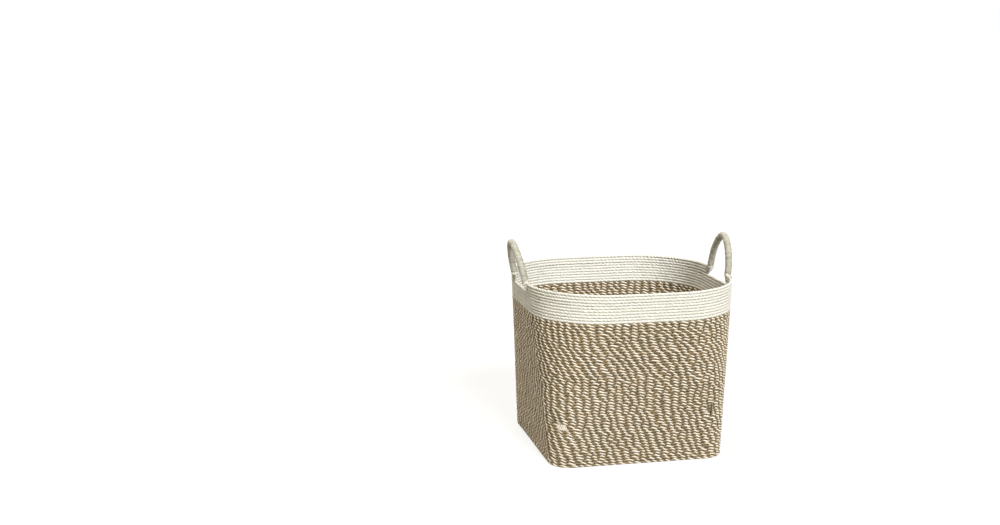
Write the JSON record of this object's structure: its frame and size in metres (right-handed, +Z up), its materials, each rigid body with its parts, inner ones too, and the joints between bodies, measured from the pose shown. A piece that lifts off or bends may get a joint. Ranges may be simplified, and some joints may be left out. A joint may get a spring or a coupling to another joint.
{
  "type": "laundry basket",
  "caption": "Open rectangular laundry basket sewn from courses of twisted natural and cream cord, with a white cord band and rim and two raffia-wrapped loop handles.",
  "frame": {"origin": "centre of the underside of the base, on the surface that the basket stands on", "axes": "+Z up out of the open mouth; +X along the side without a handle, towards the right handle; +Y to the back; the underside of the base faces -Z"},
  "size_m": [0.4322, 0.395, 0.4063],
  "materials": {
    "natural_cord": "matte",
    "white_cord": "matte",
    "raffia_wrap": "satin"
  },
  "bodies": {
    "basket": {"base_start_coil": "natural_cord", "base_cord_inner": "natural_cord", "base_cord_outer": "natural_cord", "body_cord_1": "natural_cord", "body_cord_2": "natural_cord", "body_cord_3": "natural_cord", "body_cord_4": "natural_cord", "body_cord_5": "natural_cord", "splice_binding": "raffia_wrap", "band_cord": "white_cord", "rim_cords_front": "white_cord", "rim_cords_back": "white_cord", "foot_lashing_left_front": "raffia_wrap", "foot_lashing_left_back": "raffia_wrap", "foot_lashing_right_front": "raffia_wrap", "foot_lashing_right_back": "raffia_wrap"},
    "handle_left": {"handle_core_left": "white_cord", "handle_wrap_left": "raffia_wrap", "handle_foot_left_front": "raffia_wrap", "handle_foot_left_back": "raffia_wrap"},
    "handle_right": {"handle_core_right": "white_cord", "handle_wrap_right": "raffia_wrap", "handle_foot_right_front": "raffia_wrap", "handle_foot_right_back": "raffia_wrap"}
  },
  "joints": [
    {"name": "handle_left_bend", "type": "hinge", "parent": "basket", "child": "handle_left", "pos_m": [-0.19208, 0, 0.32175], "axis": [0, -1, 0], "range_deg": [-75, 60], "stiffness_Nm_per_rad": 0.3},
    {"name": "handle_right_bend", "type": "hinge", "parent": "basket", "child": "handle_right", "pos_m": [0.20085, -0.015, 0.32175], "axis": [0, 1, 0], "range_deg": [-75, 60], "stiffness_Nm_per_rad": 0.3}
  ]
}
